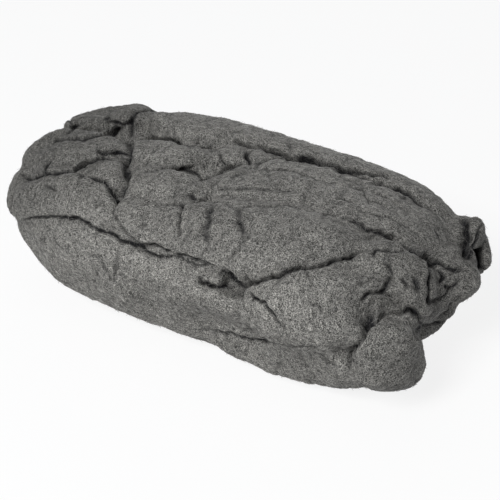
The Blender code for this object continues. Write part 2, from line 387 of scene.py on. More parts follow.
# %% Creases that show in the photograph
# name: (depth mm, half width mm, rim mm, points in the photograph)
SEEN_CREASES = {
    # the belly, its nose and the front
    "belly_edge": (4.2, 0.9, 1.1, [
        (121, 195), (115, 204), (113, 214), (120, 225), (128, 235), (138, 243), (148, 246), (159, 247),
        (172, 254), (186, 258), (204, 263), (216, 270), (227, 280), (237, 290),
    ]),
    "apron_top": (1.8, 0.8, 0.6, [
        (24, 221), (35, 218), (55, 217), (75, 219), (85, 222), (95, 227), (105, 231), (112, 233),
        (120, 239), (130, 244), (143, 250), (155, 256), (163, 257), (175, 258), (185, 262), (195, 266),
        (210, 268), (218, 271),
    ]),
    "front_pit": (7.0, 2.0, 0.4, [(221, 275), (228, 281), (235, 288), (239, 292)]),
    "front_pit_top": (4.0, 1.3, 0.3, [(226, 273), (234, 281), (240, 289)]),
    "front_pit_right": (4.0, 1.2, 0.3, [(249, 284), (243, 287), (238, 293)]),
    "pit_tail": (2.2, 0.8, 0.4, [(197, 281), (201, 283), (210, 285), (222, 286), (234, 289)]),
    "pit_hole": (2.4, 1.0, 0.0, [(200, 277), (202, 284)]),
    "pit_drop_left": (1.0, 0.7, 0.2, [(231, 294), (234, 302), (238, 312), (239, 320)]),
    "pit_drop_right": (0.8, 0.7, 0.2, [(237, 294), (241, 302), (247, 316), (250, 326)]),
    "panel_top": (4.2, 0.9, 0.8, [
        (366, 249), (358, 252), (350, 257), (340, 259), (330, 263), (318, 266), (306, 268), (295, 268),
        (285, 271), (278, 276), (268, 279), (258, 281), (246, 285), (240, 289),
    ]),
    "panel_tear": (2.4, 0.7, 0.4, [
        (249, 292), (257, 300), (264, 303), (268, 308), (274, 316), (279, 325),
    ]),
    "panel_nick": (1.4, 0.8, 0.2, [(283, 326), (284, 330)]),
    "panel_wrinkle": (0.7, 0.9, 0.2, [(308, 301), (322, 310), (314, 316), (309, 326)]),
    "hem_line": (1.3, 1.1, 0.4, [
        (200, 330), (210, 331), (222, 333), (238, 337), (250, 340), (262, 341), (275, 344), (290, 347),
        (314, 348),
    ]),
    "belly_rip": (2.6, 0.7, 0.4, [(182, 203), (181, 210), (180, 217), (178, 224), (179, 234)]),
    "belly_dent": (1.3, 1.8, 0.3, [(211, 203), (210, 212), (208, 222), (206, 232), (208, 242)]),
    "belly_dent_two": (1.1, 1.6, 0.3, [(236, 205), (240, 215), (241, 225), (243, 236)]),
    "belly_dent_three": (0.5, 1.4, 0.1, [(144, 210), (142, 218), (143, 228)]),
    "apron_dent": (0.6, 1.5, 0.1, [(116, 250), (117, 260), (114, 271)]),
    "apron_dent_two": (0.5, 1.3, 0.1, [(92, 253), (101, 262), (108, 276)]),
    # the foot and the curl above it
    "foot_edge": (4.6, 1.0, 1.0, [
        (424, 326), (418, 316), (410, 311), (400, 311), (390, 313), (382, 316), (374, 319), (369, 323),
        (364, 333), (359, 342), (352, 350), (349, 357), (348, 367),
    ]),
    "foot_pit": (3.2, 2.4, 0.0, [(374, 314), (369, 322), (366, 330)]),
    "curl_hollow": (3.2, 0.9, 0.6, [
        (388, 277), (386, 287), (381, 292), (374, 292), (367, 293), (366, 300),
    ]),
    "curl_knot": (1.2, 0.8, 0.4, [(384, 262), (390, 268), (391, 277)]),
    "curl_knot_two": (1.0, 0.8, 0.4, [(398, 276), (405, 283), (404, 292)]),
    "curl_top": (2.4, 0.9, 0.8, [(404, 249), (395, 250), (385, 251), (377, 249), (373, 255)]),
    "curl_side": (3.8, 1.2, 0.8, [
        (433, 307), (429, 300), (431, 291), (430, 284), (431, 276), (431, 267), (432, 259),
    ]),
    "curl_side_pit": (3.0, 1.6, 0.0, [(430, 299), (434, 303), (439, 300)]),
    "curl_dimple": (1.6, 1.6, 0.0, [(416, 279), (418, 290)]),
    "flap_pit": (2.6, 2.2, 0.2, [(415, 332), (422, 329), (428, 325)]),
    # the upper wrap
    "wrap_edge": (2.6, 0.8, 0.9, [
        (345, 217), (357, 221), (367, 228), (374, 231), (385, 234), (397, 237), (405, 242), (415, 248),
        (425, 255), (432, 259), (442, 262), (449, 268),
    ]),
    "wrap_gap": (6.5, 1.3, 1.2, [(393, 236), (405, 241), (415, 248), (425, 255), (433, 262)]),
    "wrap_run": (1.0, 0.7, 0.3, [(262, 168), (285, 170), (310, 176), (336, 184)]),
    "wrap_run_two": (0.9, 0.7, 0.3, [(214, 190), (240, 188), (268, 189), (300, 192)]),
    "wrap_run_three": (0.9, 0.7, 0.3, [(352, 208), (376, 214), (402, 224), (426, 240)]),
    "wrap_run_four": (0.8, 0.7, 0.3, [(320, 172), (350, 180), (382, 196), (412, 214)]),
    "wrap_edge_faint": (0.9, 0.9, 0.5, [
        (206, 200), (222, 203), (236, 206), (250, 205), (270, 206), (290, 206), (310, 210), (326, 213),
        (346, 217),
    ]),
    "wrap_rip": (1.3, 0.6, 0.3, [(346, 182), (353, 187), (362, 189), (366, 195), (371, 204)]),
    "wrap_rip_two": (0.9, 0.6, 0.2, [(338, 198), (350, 202), (361, 207)]),
    "wrap_rip_three": (0.9, 0.6, 0.2, [(368, 200), (378, 203), (388, 207)]),
    "wrap_nick": (1.8, 0.7, 0.2, [(436, 230), (440, 239)]),
    # the ridge
    "ridge_edge": (4.4, 0.9, 1.0, [
        (131, 141), (140, 140), (150, 139), (160, 140), (170, 140), (176, 139), (180, 142), (190, 144),
        (200, 147), (212, 148),
    ]),
    "ridge_edge_right": (4.8, 1.0, 1.0, [
        (236, 140), (245, 143), (253, 146), (262, 146), (268, 149), (276, 151), (284, 155), (292, 157),
        (300, 158), (308, 157), (315, 158), (321, 162), (332, 164), (345, 168), (355, 169), (365, 172),
        (374, 173), (384, 174), (393, 177), (402, 180),
    ]),
    "ridge_pit": (3.0, 1.8, 0.0, [(296, 156), (306, 157), (314, 156)]),
    "ridge_second": (3.4, 0.9, 0.6, [
        (350, 170), (360, 175), (370, 179), (380, 182), (390, 186), (400, 189), (410, 194), (424, 205),
        (436, 212),
    ]),
    "ridge_nose": (2.4, 1.3, 0.8, [
        (166, 111), (155, 110), (145, 110), (138, 112), (133, 118), (131, 126), (131, 136),
    ]),
    # the step block and the rumples beside it
    "step_line": (3.2, 0.8, 0.7, [
        (146, 170), (155, 168), (165, 168), (175, 169), (185, 169), (192, 167),
    ]),
    "step_turn": (2.0, 0.7, 0.3, [(186, 169), (195, 172), (202, 177)]),
    "step_gap": (5.0, 1.1, 0.8, [
        (241, 162), (234, 166), (228, 168), (222, 171), (215, 174), (208, 177), (202, 180),
    ]),
    "step_low": (2.8, 0.8, 0.7, [
        (158, 204), (168, 203), (175, 203), (184, 203), (192, 202), (200, 200), (207, 199),
    ]),
    "step_smudge": (2.0, 1.2, 0.0, [(190, 194), (196, 199)]),
    "step_wrinkle": (0.9, 0.7, 0.2, [(152, 153), (158, 147)]),
    "rumple_hole": (3.2, 1.2, 0.2, [(248, 150), (247, 155), (250, 162)]),
    "rumple_line": (1.2, 0.8, 0.4, [(219, 152), (221, 160), (223, 168)]),
    "rumple_low": (1.0, 0.8, 0.3, [(240, 166), (252, 167), (260, 162), (270, 159), (282, 157)]),
    "step_side": (3.6, 1.8, 0.6, [
        (131, 141), (129, 150), (128, 160), (127, 170), (126, 180), (122, 190), (119, 198),
    ]),
    # the left end
    "gore_hole": (4.2, 1.7, 0.2, [(112, 189), (117, 193), (120, 199)]),
    "nose_top": (2.0, 0.9, 0.6, [(116, 191), (110, 187), (104, 183), (96, 179), (86, 176), (74, 172)]),
    "left_roll_edge": (2.6, 0.9, 0.9, [
        (22, 174), (28, 178), (34, 178), (42, 175), (48, 173), (56, 173), (65, 171), (73, 170), (80, 166),
        (86, 163), (92, 160), (98, 158), (106, 156), (113, 159), (121, 160), (127, 158),
    ]),
    "left_roll_nick": (1.8, 0.8, 0.2, [(46, 173), (46, 165), (50, 161)]),
    "left_roll_line": (2.2, 0.9, 0.5, [(98, 152), (107, 153), (115, 151), (124, 151), (130, 150)]),
    "back_lobe_edge": (2.4, 0.9, 0.8, [
        (54, 141), (65, 139), (75, 138), (85, 138), (95, 136), (105, 135), (112, 133), (118, 130),
        (124, 128),
    ]),
    "back_lobe_pit": (3.0, 1.5, 0.0, [(109, 134), (114, 131), (118, 130)]),
    "back_lobe_hole": (3.4, 1.3, 0.2, [(67, 132), (72, 129), (77, 125)]),
    "back_lobe_dent": (2.0, 1.2, 0.2, [(103, 119), (108, 116)]),
    "back_lobe_line": (2.2, 1.2, 0.4, [(110, 122), (120, 125), (131, 124)]),
    "nose_lip": (2.2, 1.0, 0.4, [(12, 203), (14, 212), (18, 220), (22, 226), (26, 234)]),
    "nose_dent": (0.8, 1.2, 0.2, [(46, 186), (57, 190)]),
    # the right end
    "tuft_gap": (5.0, 2.0, 0.6, [(461, 213), (464, 222), (465, 232), (467, 245), (468, 257)]),
    "tuft_slit": (3.4, 1.2, 0.4, [(475, 246), (478, 256), (479, 269)]),
    "tuft_streak": (1.8, 0.7, 0.4, [(471, 258), (476, 246), (480, 234), (483, 226)]),
    "tuft_streak_two": (1.6, 0.7, 0.4, [(477, 262), (481, 251), (486, 241)]),
    "end_blob": (2.4, 1.0, 0.4, [(440, 270), (444, 276), (441, 282)]),
    "end_blob_two": (2.2, 1.0, 0.4, [(447, 284), (452, 291)]),
    "tuft_line": (1.6, 0.7, 0.4, [(481, 226), (477, 236), (472, 250)]),
    "end_line": (1.6, 0.9, 0.5, [(443, 263), (452, 270), (464, 268)]),
    "end_line_two": (1.4, 0.9, 0.4, [(440, 302), (450, 292), (460, 281)]),
    "end_line_three": (1.4, 0.9, 0.4, [(438, 318), (449, 308), (462, 296)]),
}
print(len(SEEN_CREASES), "creases are drawn from the photograph")

# %% [markdown]
# The sides that the photograph doesn't show get creases of the same kind. Their points are
# places on the loaf, told as for the folds.

# %% Creases on the sides that don't show
# name: (depth mm, half width mm, rim mm, points as along and around)
HIDDEN_CREASES = {
    "back_long": (2.6, 1.0, 0.9, [(-86, 168), (-60, 172), (-30, 170), (5, 174), (40, 166), (70, 168)]),
    "back_branch": (2.0, 0.9, 0.7, [(-20, 171), (-5, 182), (15, 196), (38, 204)]),
    "back_low": (2.4, 1.0, 0.8, [(-80, 212), (-50, 214), (-15, 212), (10, 216)]),
    "back_rip": (1.4, 0.7, 0.3, [(48, 150), (50, 158), (47, 166)]),
    "back_rip_two": (1.2, 0.8, 0.3, [(-40, 182), (-42, 192), (-38, 203)]),
    "back_top": (1.8, 0.9, 0.7, [(-55, 136), (-20, 141), (20, 146), (60, 145)]),
    "right_end": (2.6, 1.2, 0.8, [(90, 205), (97, 190), (98, 160), (97, 140)]),
    "right_end_low": (2.2, 1.0, 0.7, [(92, -30), (97, -60), (98, -110), (94, -150)]),
    "left_end": (3.0, 1.0, 0.8, [(-88, 150), (-95, 160), (-99, 190), (-99.3, 262), (-96, 300)]),
    "left_end_low": (2.4, 1.0, 0.8, [(-86, 214), (-94, 222), (-98, 244), (-98.6, 280)]),
    "left_end_up": (2.2, 0.9, 0.7, [(-90, 92), (-97, 100), (-99, 60), (-97, 22)]),
    "left_end_rip": (1.6, 0.8, 0.4, [(-97, 176), (-98.8, 120), (-97, 70)]),
}
print(len(HIDDEN_CREASES), "more lie on the hidden sides")


# %% [markdown]
# A squeezed loaf is nowhere quite even. Before the creases come broad swells and dents, each
# told by its height, its radius and the point of the photograph where it lies.

# %% Swells and dents
# name: (height mm, radius mm, point in the photograph)
SWELLS = {
    "back_lobe_left": (6, 7, (73, 126)),
    "back_lobe_top": (-8, 13, (101, 103)),
    "ridge_start": (3.5, 7, (160, 118)),
    "left_roll_top": (-6, 9, (44, 140)),
    "left_roll_end": (-5, 8, (24, 171)),
    "left_nose_low": (-4.5, 13, (29, 250)),
    "front_low_far": (-5, 13, (150, 314)),
    "front_low_left": (-10, 15, (196, 335)),
    "front_low": (-13, 18, (238, 355)),
    "front_low_right": (-9, 18, (300, 378)),
    "foot_right": (-9, 9, (428, 341)),
    "foot_low_right": (-3, 8, (424, 362)),
    "end_fill": (5, 11, (466, 284)),
    "end_fill_high": (1.5, 8, (471, 270)),
    "tuft_low": (-9, 6, (488, 256)),
    "tuft_high": (6, 6, (474, 228)),
    "belly_right": (2.5, 15, (322, 232)),
    "step_block": (1.5, 9, (160, 188)),
}


def cast(origin, direction):
    """Where a ray meets the skin, with the way out there, or None."""
    place, out, _, _ = skin_tree.ray_cast(origin, direction)
    return (place, out) if place is not None else None


def seen_at(pixel):
    """Where a point of the photograph lies on the skin."""
    return cast(EYE, toward(pixel).normalized())


skin_tree = BVHTree.FromObject(clay, bpy.context.evaluated_depsgraph_get())
swollen = points_of(clay.data)
for name, (height, radius, pixel) in SWELLS.items():
    centre, out = seen_at(pixel)
    near = np.linalg.norm(points_of(clay.data) - np.array(centre), axis=1) / (radius * MM)
    swollen += np.array(out) * (height * MM * np.exp(-near**2))[:, None]
move_points(clay.data, swollen)
print(len(SWELLS), "swells and dents")


# %% Cast the lines onto the skin
LINE_STEP = 0.6 * MM
SWAY = 1.1 * MM
SWAY_LENGTH = 3.4 * MM
BITE = 0.65
BITE_LENGTH = 4.2 * MM
BITE_SHIFT = Vector((7, 7, 7))
END_FADE = 0.45
CAST_FROM = 0.05


def smooth_line(points, per_span):
    """A denser line through a few points."""
    return through(points, per_span * (len(points) - 1) + 1)


def seen_line(points):
    """A line of the photograph laid on the skin."""
    return [seen_at(pixel) for pixel in smooth_line(points, 12)]


def hidden_line(points):
    """A line told by places on the loaf, laid on the skin."""
    rows = smooth_line(points, 24)
    middle, out = settle(skin_point(rows[:, 0], rows[:, 1]))
    return [cast(Vector(m + shift + o * CAST_FROM), Vector(-o)) for m, o in zip(middle, out)]


def tidy_line(hits):
    """Even samples of a line on the skin: places, ways out, ways along and a fade to the ends."""
    hits = [hit for hit in hits if hit]
    place = np.array([hit[0] for hit in hits])
    out = np.array([hit[1] for hit in hits])
    walked = np.concatenate([[0], np.cumsum(np.linalg.norm(np.diff(place, axis=0), axis=1))])
    count = max(4, int(walked[-1] / LINE_STEP))
    at = np.linspace(0, walked[-1], count)
    place = np.column_stack([np.interp(at, walked, place[:, k]) for k in range(3)])
    out = np.column_stack([np.interp(at, walked, out[:, k]) for k in range(3)])
    blur = np.hanning(min(count, 9) + 2)[1:-1]
    padded = np.pad(out, ((len(blur) // 2, len(blur) // 2), (0, 0)), mode="edge")
    out = np.column_stack([np.convolve(padded[:, k], blur, "valid") for k in range(3)])[:count]
    out /= np.linalg.norm(out, axis=1)[:, None]
    onward = np.gradient(place, axis=0)
    onward /= np.linalg.norm(onward, axis=1)[:, None] + 1e-9
    fade = np.sin(np.pi * np.linspace(0.06, 0.94, count)) ** END_FADE
    sway = np.array([noise.noise(Vector(p) / SWAY_LENGTH) for p in place])
    place += np.cross(out, onward) * (sway * SWAY)[:, None]
    bite = np.array([noise.noise(Vector(p) / BITE_LENGTH + BITE_SHIFT) for p in place])
    return place, out, onward, fade * (1 + BITE * bite)


skin_tree = BVHTree.FromObject(clay, bpy.context.evaluated_depsgraph_get())
lines = {}
for table, lay in ((SEEN_CREASES, seen_line), (HIDDEN_CREASES, hidden_line)):
    for name, (depth, width, rim, points) in table.items():
        lines[name] = (depth * MM, width * MM, rim * MM, tidy_line(lay(points)))
print(len(lines), "lines lie on the skin")

# %% [markdown]
# Besides the creases that one can name, the web is rumpled all over. Short soft wrinkles are
# scattered by a fixed seed, most of them across the run of the fold that they lie on.

# %% Scatter short wrinkles
WRINKLES = 170
WRINKLE_LENGTH = (8, 22)
WRINKLE_DEPTH = (0.25, 0.8)
WRINKLE_WIDTH = (0.8, 1.6)
WRINKLE_TURN = (80, 26)
WRINKLE_BEND = 0.25
WRINKLE_RIM = 0.35
LEAST_HITS = 5

scatter = np.random.default_rng(7)
skin_places = points_of(clay.data)
skin_ways = normals_of(clay.data)
for k in range(WRINKLES):
    i = scatter.integers(len(skin_places))
    onward = run_onward[nearest[i]]
    out = skin_ways[i]
    turn = math.radians(scatter.normal(*WRINKLE_TURN))
    side = np.cross(out, onward)
    way = onward * math.cos(turn) + side * math.sin(turn)
    length = scatter.uniform(*WRINKLE_LENGTH) * MM
    bend = scatter.normal(0, WRINKLE_BEND)
    at = np.linspace(-0.5, 0.5, 9)[:, None] * length
    path = skin_places[i] + way * at + np.cross(out, way) * bend * at**2 / length * 2
    hits = [cast(Vector(p + out * 0.02), Vector(-out)) for p in path]
    if sum(hit is not None for hit in hits) > LEAST_HITS:
        depth = scatter.uniform(*WRINKLE_DEPTH) * MM
        width = scatter.uniform(*WRINKLE_WIDTH) * MM
        lines[f"wrinkle_{k}"] = (depth, width, depth * WRINKLE_RIM, tidy_line(hits))
print(len(lines), "lines with the scattered wrinkles")

# %% [markdown]
# ## Pressing the lines in
#
# Near a line, each point of the skin sinks or rises by a simple profile: a narrow groove in a
# broad soft valley, and a rounded rim on the side that lies over.

# %% Push the skin along its lines
# lengths without a unit are in half widths of the line
REACH = 8
NARROWNESS = 0.95
VALLEY = 0.32
VALLEY_WIDTH = 3.6
DEEPEST = 7 * MM
# crease depth from which the painted shade in a crease is full
DARKEST_FROM = 1.8 * MM
SHOULDER_AT, SHOULDER_WIDTH = 2.3, 1.3
OVERLAP_SHARPNESS = 4


def press(places):
    """How far each point moves out, and how deep in a crease it lies, from 0 to 1, to be painted as shade."""
    move = np.zeros(len(places))
    inside = np.zeros(len(places))
    for depth, width, rim, (line, out, onward, fade) in lines.values():
        reach = REACH * width
        low, high = line.min(axis=0) - reach - DEEPEST, line.max(axis=0) + reach + DEEPEST
        near = np.flatnonzero(((places > low) & (places < high)).all(axis=1))
        for part in np.array_split(near, len(near) // 6000 + 1):
            gap = places[part][:, None] - line[None]
            rise = np.einsum("ijk,jk->ij", gap, out)
            flat = gap - rise[..., None] * out[None]
            apart = np.linalg.norm(flat, axis=2) + np.where(np.abs(rise) > DEEPEST * 1.5, 1, 0)
            best = apart.argmin(axis=1)
            rows = np.arange(len(part))
            away = apart[rows, best] / width / NARROWNESS
            side = np.einsum("ij,ij->i", np.cross(out[best], onward[best]), flat[rows, best])
            over = 1 / (1 + np.exp(-OVERLAP_SHARPNESS * side / width))
            groove = np.exp(-away**2)
            shoulder = np.exp(-((away - SHOULDER_AT) / SHOULDER_WIDTH) ** 2)
            valley = VALLEY * np.exp(-(away / VALLEY_WIDTH) ** 2)
            amount = rim * shoulder * over - depth * (groove + valley * (1.2 - 0.6 * over))
            move[part] += amount * fade[best]
            # painted shade: darkest in the groove, half as dark in the valley beside it
            dark = (groove + valley * 0.5) * fade[best] * min(1, depth / DARKEST_FROM)
            inside[part] = np.maximum(inside[part], dark)
    return move.clip(-DEEPEST, None), inside.clip(0, 1)


def ways_eased(piece, rounds):
    """The ways out of a mesh, averaged with their neighbours' so that a push stays even."""
    mesh = piece.data
    ends = np.empty(len(mesh.edges) * 2, int)
    mesh.edges.foreach_get("vertices", ends)
    a, b = ends.reshape(-1, 2).T
    ways = normals_of(mesh)
    for _ in range(rounds):
        total = ways.copy()
        for k in range(3):
            total[:, k] += np.bincount(a, ways[b, k], len(ways))
            total[:, k] += np.bincount(b, ways[a, k], len(ways))
        ways = total / np.linalg.norm(total, axis=1)[:, None]
    return ways


eased_ways = ways_eased(clay, 6)
move, inside = press(skin_places)
print("the deepest groove is", round(-move.min() / MM, 2), "mm")

# %% [markdown]
# ## Lumps and streaks
#
# Three more layers of relief make it wool: broad lumps where the filling is uneven, small
# knots, and faint ridges along the run of each fold, where bundles of fibre lie side by side.

# %% Add lumps and streaks
LUMP = 0.9 * MM
LUMP_SIZE = 13 * MM
KNOT = 0.34 * MM
KNOT_SIZE = 4.0 * MM
STREAK = 0.16 * MM
STREAK_LENGTH = 16 * MM
STREAK_WIDTH = 2.0 * MM
STREAK_BEND = 4 * MM


def relief(places, coords):
    """The height of the lumps and streaks at each point."""
    height = np.empty(len(places))
    for i, (place, (u, v, fold)) in enumerate(zip(places, coords)):
        place = Vector(place)
        lump = noise.noise(place / LUMP_SIZE)
        knot = noise.noise(place / KNOT_SIZE)
        bent = v + STREAK_BEND * noise.noise(Vector((u * 30, v * 20, fold)))
        streak = noise.noise(Vector((u / STREAK_LENGTH, bent / STREAK_WIDTH, fold * 9)))
        height[i] = LUMP * lump + KNOT * knot + STREAK * streak
    return height


move += relief(skin_places, run_coords[nearest])
formed = skin_places + eased_ways * move[:, None]
formed[:, 2] = formed[:, 2].clip(0)
move_points(clay.data, formed)
print("formed", len(formed), "points")

# %% [markdown]
# ## Fewer faces
#
# Decimate keeps small faces where the skin bends and lets flat places have large ones.

# %% Thin the faces
MOST_TRIANGLES = 190_000
triangles = sum(len(face.vertices) - 2 for face in clay.data.polygons)
thinned = clay.modifiers.new("thin the faces", "DECIMATE")
thinned.ratio = MOST_TRIANGLES / triangles
pad = applied(clay, "steel_wool_web")
pad.data.shade_smooth()
kept = sum(len(face.vertices) - 2 for face in pad.data.polygons)
print(triangles, "triangles become", kept)


# %% Note the run and the creases on the finished skin
def note(mesh, name, values, kind="FLOAT"):
    """Keeps a value at each point, for the materials and the strands."""
    layer = mesh.attributes.new(name, kind, "POINT")
    key = "vector" if kind == "FLOAT_VECTOR" else "value"
    layer.data.foreach_set(key, np.ascontiguousarray(values, np.float32).ravel())


pad_places = points_of(pad.data)
nearest = nearest_runs(pad_places)
note(pad.data, "run", run_coords[nearest], "FLOAT_VECTOR")
note(pad.data, "onward", run_onward[nearest], "FLOAT_VECTOR")
# the crease value is the mask of painted shade that the materials use
note(pad.data, "crease", press(pad_places)[1])
print("the skin knows its run and its creases")

# %% [markdown]
# ## Words for materials
#
# A material is a small sum. The class below wraps a socket so that the sum can be written as
# one, and each sign adds its own Math node.


# %% Write shader sums as sums
class Term:
    """A shader value that takes part in sums."""

    def __init__(self, tree, socket):
        self.tree = tree
        self.socket = socket

    def made(self, kind, settings=None, values=None, output=0):
        """A node of any kind with its settings and socket values or links."""
        node = self.tree.nodes.new(kind)
        for key, value in (settings or {}).items():
            setattr(node, key, value)
        for key, value in (values or {}).items():
            if isinstance(value, Term):
                self.tree.links.new(value.socket, node.inputs[key])
            else:
                node.inputs[key].default_value = value
        return Term(self.tree, node.outputs[output]) if node.outputs else node

    def sum(self, sign, *others, clamp=False):
        """A Math node on this value and the others."""
        values = dict(enumerate((self, *others)))
        return self.made("ShaderNodeMath", {"operation": sign, "use_clamp": clamp}, values)

    def __add__(self, other):
        return self.sum("ADD", other)

    __radd__ = __add__

    def __mul__(self, other):
        return self.sum("MULTIPLY", other)

    __rmul__ = __mul__

    def __sub__(self, other):
        return self.sum("SUBTRACT", other)

    def __rsub__(self, other):
        return self.made("ShaderNodeMath", {"operation": "SUBTRACT"}, {0: other, 1: self})


def new_material(name):
    """An empty material, with a term to start sums from."""
    material = bpy.data.materials.new(name)
    material.use_nodes = True
    material.node_tree.nodes.clear()
    return material, Term(material.node_tree, None)


def finish_material(start, shader):
    """Links a shader to the material's output."""
    start.made("ShaderNodeOutputMaterial", values={"Surface": shader})


def streaks(start, coords, turn, length, width, seed):
    """Fine noise drawn out along one way, as fibres lie."""
    bent = start.made("ShaderNodeMapping", {"vector_type": "TEXTURE"}, {
        "Vector": coords,
        "Location": (0, 0, seed),
        "Rotation": (0, 0, math.radians(turn)),
        "Scale": (length, width, 1),
    })
    return start.made("ShaderNodeTexNoise", values={
        "Vector": bent, "Scale": 1, "Detail": 2, "Roughness": 0.6, "Distortion": 0.15,
    })


# %% [markdown]
# ## Steel wool from a step away
#
# The metal itself is bright, but a mat of it drinks light: most rays bounce from fibre to
# fibre and die inside. So the skin under the strands is a dark warm grey, half metal and
# rough. Seen from a step away the fibres are too fine to tell apart, and they leave a salt
# and pepper grain: short light and dark dashes that cross at all angles.

# %% The web's material
WEB_COLOUR = (0.165, 0.161, 0.150, 1)
# painted shade: the near black that the creases are painted with
CREASE_SHADE_COLOUR = (0.006, 0.006, 0.007, 1)
# where each painted shade starts and is full, in metres along or up, and how much it takes away
RIGHT_SHADE, RIGHT_LOSS = (0.080, 0.128), 0.28
LEFT_SHADE, LEFT_LOSS = (-0.055, -0.100), 0.06
HIGH_SHADE, HIGH_LEFT_LOSS = (0.040, 0.060), 0.26
TOP_SHADE, TOP_LOSS = (0.058, 0.078), 0.2
DASH_WIDTH = 0.00045
DASH_CONTRAST = 8.0
SPECKLE_SCALE, SPECKLE_CONTRAST = 1700, 9.5
PATCH_SCALE, PATCH_CONTRAST = 60, 0.6


def ramp(start, value, ends):
    """0 to 1 as a value goes from one end to the other."""
    return start.made("ShaderNodeMapRange", values={
        "Value": value, "From Min": ends[0], "From Max": ends[1],
    })


def side_shade(start, place):
    """Painted shade: 0 over most of the pad, and more on its right end, its upper left and its top."""
    x = start.made("ShaderNodeSeparateXYZ", values={"Vector": place})
    z = Term(start.tree, x.socket.node.outputs["Z"])
    left = ramp(start, x, LEFT_SHADE) * (ramp(start, z, HIGH_SHADE) * HIGH_LEFT_LOSS + LEFT_LOSS)
    return ramp(start, x, RIGHT_SHADE) * RIGHT_LOSS + left + ramp(start, z, TOP_SHADE) * TOP_LOSS


def scaled(start, colour, shade):
    """A colour made lighter or darker."""
    return start.made("ShaderNodeVectorMath", {"operation": "SCALE"}, {0: colour[:3], "Scale": shade})


def web_material():
    """Dark grey metal with a grain of crossing dashes, painted shade that turns the creases black, and
    painted shade on the right end, the upper left and the top.
    """
    material, start = new_material("steel_wool_web")
    coords = start.made("ShaderNodeAttribute", {"attribute_name": "run"}, output="Vector")
    crease = start.made("ShaderNodeAttribute", {"attribute_name": "crease"}, output="Fac")
    place = start.made("ShaderNodeTexCoord", output="Object")
    along = streaks(start, coords, 8, 0.0019, DASH_WIDTH, 0)
    left = streaks(start, coords, 50, 0.0016, DASH_WIDTH, 3)
    right = streaks(start, coords, -44, 0.0016, DASH_WIDTH, 5)
    steep = streaks(start, coords, 96, 0.0014, DASH_WIDTH, 8)
    fibre = (along + left + right + steep) * 0.25
    speckle = start.made("ShaderNodeTexNoise", values={
        "Vector": place, "Scale": SPECKLE_SCALE, "Detail": 2, "Roughness": 0.8,
    })
    patch = start.made("ShaderNodeTexNoise", values={"Vector": place, "Scale": PATCH_SCALE, "Detail": 3})
    light = (fibre - 0.5) * DASH_CONTRAST + (speckle - 0.5) * SPECKLE_CONTRAST
    light = light + (patch - 0.5) * PATCH_CONTRAST
    # the grain, darkened by the painted shade on the right end, the upper left and the top
    shade = (light + 1.0).sum("MAXIMUM", 0.12) * (1 - side_shade(start, place))
    tone = scaled(start, WEB_COLOUR, shade)
    # painted shade: the creases are painted near black, broken up by the speckle
    gap = (crease * (speckle * 1.6 + 0.5)).sum("POWER", 1.3, clamp=True)
    mixed = {0: gap, 6: tone, 7: CREASE_SHADE_COLOUR}
    colour = start.made("ShaderNodeMix", {"data_type": "RGBA"}, mixed, output=2)
    roughness = (speckle - 0.5) * 0.6 + 0.62
    bump = start.made("ShaderNodeBump", values={
        "Strength": 0.8, "Distance": 0.0005, "Height": fibre + speckle,
    })
    shader = start.made("ShaderNodeBsdfPrincipled", values={
        "Base Color": colour, "Metallic": 0.3, "Specular IOR Level": 0.25,
        "Roughness": roughness, "Normal": bump,
    })
    finish_material(start, shader)
    return material


pad.data.materials.clear()
pad.data.materials.append(web_material())
print("the web has its material")

# %% The loose fibres' material
FIBRE_COLOUR = (0.30, 0.295, 0.28, 1)


def fibre_material():
    """Brighter metal for the strands, each with its own tone."""
    material, start = new_material("steel_wool_fibre")
    tone = start.made("ShaderNodeAttribute", {"attribute_name": "tone"}, output="Fac")
    crease = start.made("ShaderNodeAttribute", {"attribute_name": "crease"}, output="Fac")
    place = start.made("ShaderNodeTexCoord", output="Object")
    # painted shade: strands darker in the creases and on the right end, the upper left and the top
    shade = (tone * 1.3 + 0.12) * (1 - crease * 0.85) * (1 - side_shade(start, place))
    shader = start.made("ShaderNodeBsdfPrincipled", values={
        "Base Color": scaled(start, FIBRE_COLOUR, shade), "Metallic": 0.5, "Roughness": 0.5,
    })
    finish_material(start, shader)
    return material


fibre_metal = fibre_material()
print("the fibres have their material")

# %% [markdown]
# ## A tree that lays strands
#
# Steel fibres lie on the web along its run, a little crossed, and here and there one springs
# free. The Geometry Nodes tree strews points over the web, sets a short line on each, bends it
# down onto the surface, and sweeps a three-sided wire along it.


